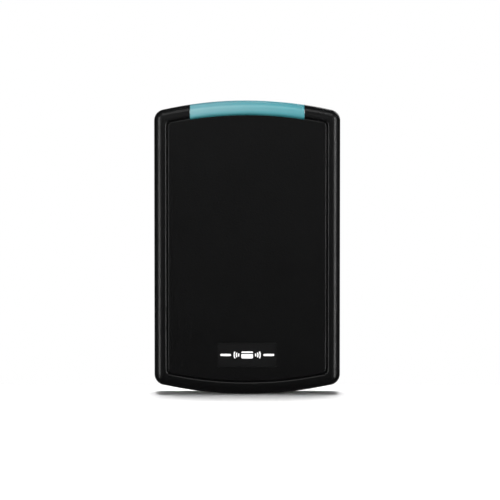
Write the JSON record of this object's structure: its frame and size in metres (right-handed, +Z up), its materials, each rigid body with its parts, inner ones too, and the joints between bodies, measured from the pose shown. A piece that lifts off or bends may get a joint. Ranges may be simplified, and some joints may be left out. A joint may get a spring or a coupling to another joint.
{
  "type": "rfid card reader",
  "caption": "Wall-mounted proximity card reader with bowed ends, a translucent top light bar, a hinged cover locked by a screw, and its electronics on a back plate.",
  "frame": {"origin": "on the wall plane, midway between the two single-gang box screws", "axes": "+Z up, +Y into the wall, +X to the viewer's right; the front faces -Y"},
  "size_m": [0.0758, 0.017, 0.12],
  "materials": {
    "cover_black": "fine pebble texture, satin",
    "base_black": "moulded matt",
    "lens_teal": "translucent, polished, lit from behind",
    "guide_clear": "polished clear acrylic",
    "badge_grey": "smooth satin film",
    "symbol_white": "printed ink",
    "rubber_grey": "closed-cell foam",
    "grommet_rubber": "soft rubber",
    "label_silver": "blank metallised film",
    "brass": "turned",
    "screw_steel": "stainless, plain",
    "zinc_steel": "zinc plated",
    "former_plastic": "natural nylon",
    "copper_wire": "enamelled copper winding",
    "board_green": "solder mask over copper tracks",
    "package_black": "moulded epoxy",
    "ceramic_tan": "fired ceramic",
    "film_red": "potted film capacitor",
    "can_aluminium": "drawn can",
    "can_steel": "nickel plated can",
    "led_white": "white package",
    "terminal_green": "moulded polyamide",
    "spring_steel": "bright wire",
    "plunger_white": "acetal"
  },
  "bodies": {
    "base": {"back_plate": "base_black", "rear_label": "label_silver", "wall_gasket": "rubber_grey", "cable_grommet": "grommet_rubber", "screw_insert": "brass", "coil_former": "former_plastic", "antenna_coil": "copper_wire", "coil_leads": "copper_wire", "circuit_board": "board_green", "board_screws": "zinc_steel", "microcontroller": "package_black", "reader_chip": "package_black", "crystal": "can_steel", "power_inductor": "package_black", "voltage_regulator": "package_black", "tuning_capacitors": "film_red", "surge_diodes": "package_black", "status_leds": "led_white", "chip_resistors": "package_black", "chip_capacitors": "ceramic_tan", "bulk_capacitor": "can_aluminium", "buzzer": "package_black", "terminal_block": "terminal_green", "terminal_clamps": "zinc_steel", "terminal_screws": "zinc_steel", "tamper_switch": "package_black", "tamper_spring": "spring_steel"},
    "cover": {"front_cover": "cover_black", "light_bar_lens": "lens_teal", "light_guide": "guide_clear", "badge_plate": "badge_grey", "badge_symbol": "symbol_white"},
    "screw_carrier": {"screw_washer": "screw_steel"},
    "screw": {"security_screw": "screw_steel"},
    "tamper": {"tamper_plunger": "plunger_white"}
  },
  "joints": [
    {"name": "cover_swing", "type": "hinge", "parent": "base", "child": "cover", "pos_m": [0, -0.0044, 0.0552], "axis": [-1, 0, 0], "range_deg": [0, 45]},
    {"name": "screw_withdraw", "type": "slide", "parent": "base", "child": "screw_carrier", "axis": [0, 0, -1], "range_m": [0, 0.008]},
    {"name": "screw_turn", "type": "hinge", "parent": "screw_carrier", "child": "screw", "pos_m": [0, -0.0065, -0.0565], "axis": [0, 0, -1], "range_deg": [0, 5760]},
    {"name": "tamper_press", "type": "slide", "parent": "base", "child": "tamper", "axis": [0, -1, 0], "range_m": [0, 0.0015]}
  ],
  "couplings": [
    {"joint": "screw_turn", "follows": "screw_withdraw", "rad_per_m": 12566},
    {"joint": "tamper_press", "follows": "cover_swing", "m_per_rad": 0.0019099}
  ]
}
